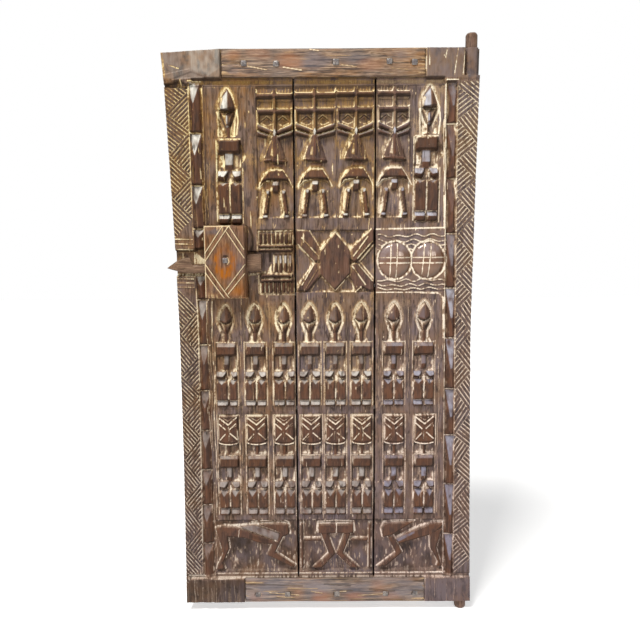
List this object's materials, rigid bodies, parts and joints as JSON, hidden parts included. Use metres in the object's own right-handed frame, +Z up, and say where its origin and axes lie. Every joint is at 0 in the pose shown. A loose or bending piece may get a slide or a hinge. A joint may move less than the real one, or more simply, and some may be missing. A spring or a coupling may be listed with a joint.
{
  "type": "granary door",
  "caption": "Carved three-plank wooden granary door on round end pivots, tied by a rail across each end, with a sliding-bolt tumbler lock.",
  "frame": {"origin": "on the axis of the two pivots, level with the lower ends of the planks, where the bottom pivot starts", "axes": "+Z up along the pivots, +X from the free edge towards the hinge edge, so the door lies on -X; the carved face looks along -Y"},
  "size_m": [0.787, 0.081, 1.499],
  "materials": {
    "carved_wood": "old hand-carved hardwood, dark brown with pale clay left in the cuts",
    "rail_wood": "adze-cut weathered hardwood, worn paler along the grain",
    "lock_wood": "handled hardwood, reddish brown with a rust stain",
    "tumbler_wood": "whittled hardwood pegs, hidden in the lock",
    "forged_iron": "hand-forged iron, grey and slightly rusted"
  },
  "bodies": {
    "door": {"left_plank": "carved_wood", "middle_plank": "carved_wood", "right_plank": "carved_wood", "top_rail": "rail_wood", "bottom_rail": "rail_wood", "top_rail_nails": "forged_iron", "bottom_rail_nails": "forged_iron", "left_seam_ties": "forged_iron", "right_seam_ties": "forged_iron", "lock_case": "lock_wood", "lock_nail": "forged_iron"},
    "bolt": {"lock_bolt": "lock_wood"},
    "peg_1": {"tumbler_1": "tumbler_wood"},
    "peg_2": {"tumbler_2": "tumbler_wood"},
    "peg_3": {"tumbler_3": "tumbler_wood"}
  },
  "joints": [
    {"name": "bolt_slide", "type": "slide", "parent": "door", "child": "bolt", "axis": [1, 0, 0], "range_m": [0, 0.027]},
    {"name": "tumbler_1_drop", "type": "slide", "parent": "door", "child": "peg_1", "axis": [0, 0, 1], "range_m": [-0.015, 0]},
    {"name": "tumbler_2_drop", "type": "slide", "parent": "door", "child": "peg_2", "axis": [0, 0, 1], "range_m": [-0.015, 0]},
    {"name": "tumbler_3_drop", "type": "slide", "parent": "door", "child": "peg_3", "axis": [0, 0, 1], "range_m": [-0.015, 0]}
  ]
}
